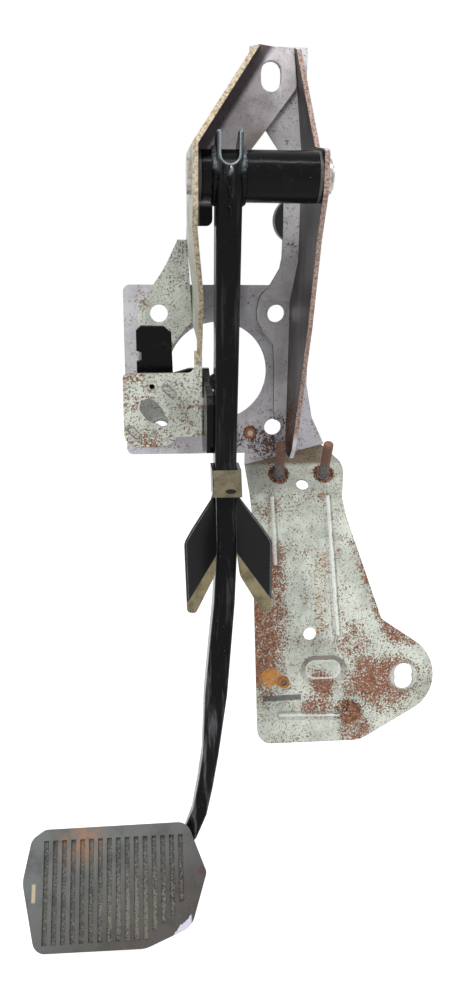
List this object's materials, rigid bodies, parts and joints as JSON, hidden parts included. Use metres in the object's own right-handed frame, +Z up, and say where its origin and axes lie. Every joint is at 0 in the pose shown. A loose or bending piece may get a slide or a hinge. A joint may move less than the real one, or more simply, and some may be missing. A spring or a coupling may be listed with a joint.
{
  "type": "pendant brake pedal in its pedal box",
  "caption": "Pendant brake pedal with ribbed rubber pad on a black arm, pivoting on a tube in a pressed steel pedal box with a firewall plate, switch plate and lower bracket.",
  "frame": {"origin": "centre of the booster opening on the rear mounting face of the firewall plate", "axes": "+X to the driver's right, +Y away from the driver through the firewall, +Z up"},
  "size_m": [0.2469, 0.19, 0.4317],
  "materials": {
    "grey_zinc": "dull lilac-grey zinc with speckles",
    "green_zinc": "pale green-grey zinc, speckled and rusting",
    "black_rubber": "matt black",
    "rusty_steel": "rusted steel",
    "bare_steel": "dull bare steel",
    "black_paint": "glossy black dip paint",
    "bush_plastic": "matt dark plastic",
    "olive_zinc": "tan-olive plating with black paint",
    "pad_rubber": "worn dark grey ribbed rubber"
  },
  "bodies": {
    "bracket": {"firewall_plate": "grey_zinc", "left_side_plate": "green_zinc", "right_side_plate": "grey_zinc", "throttle_bracket": "green_zinc", "firewall_gasket": "black_rubber", "rear_buffer": "black_rubber", "throttle_stud_left": "rusty_steel", "throttle_stud_right": "rusty_steel", "weld_nut": "rusty_steel", "plate_rivet": "rusty_steel", "pivot_pin": "bare_steel", "pivot_washer": "bare_steel", "pivot_clip": "bare_steel", "pivot_sleeve": "bare_steel"},
    "pedal": {"pivot_tube": "black_paint", "left_bush": "bush_plastic", "right_bush": "bush_plastic", "pedal_arm": "black_paint", "wing_saddle": "olive_zinc", "pad_plate": "black_paint", "pad_rubber": "pad_rubber", "switch_lever": "black_paint", "pushrod_pin": "black_paint"}
  },
  "joints": [
    {"name": "pedal_pivot", "type": "hinge", "parent": "bracket", "child": "pedal", "pos_m": [0.0137, -0.085, 0.1075], "axis": [1, 0, 0], "range_deg": [0, 17]}
  ]
}
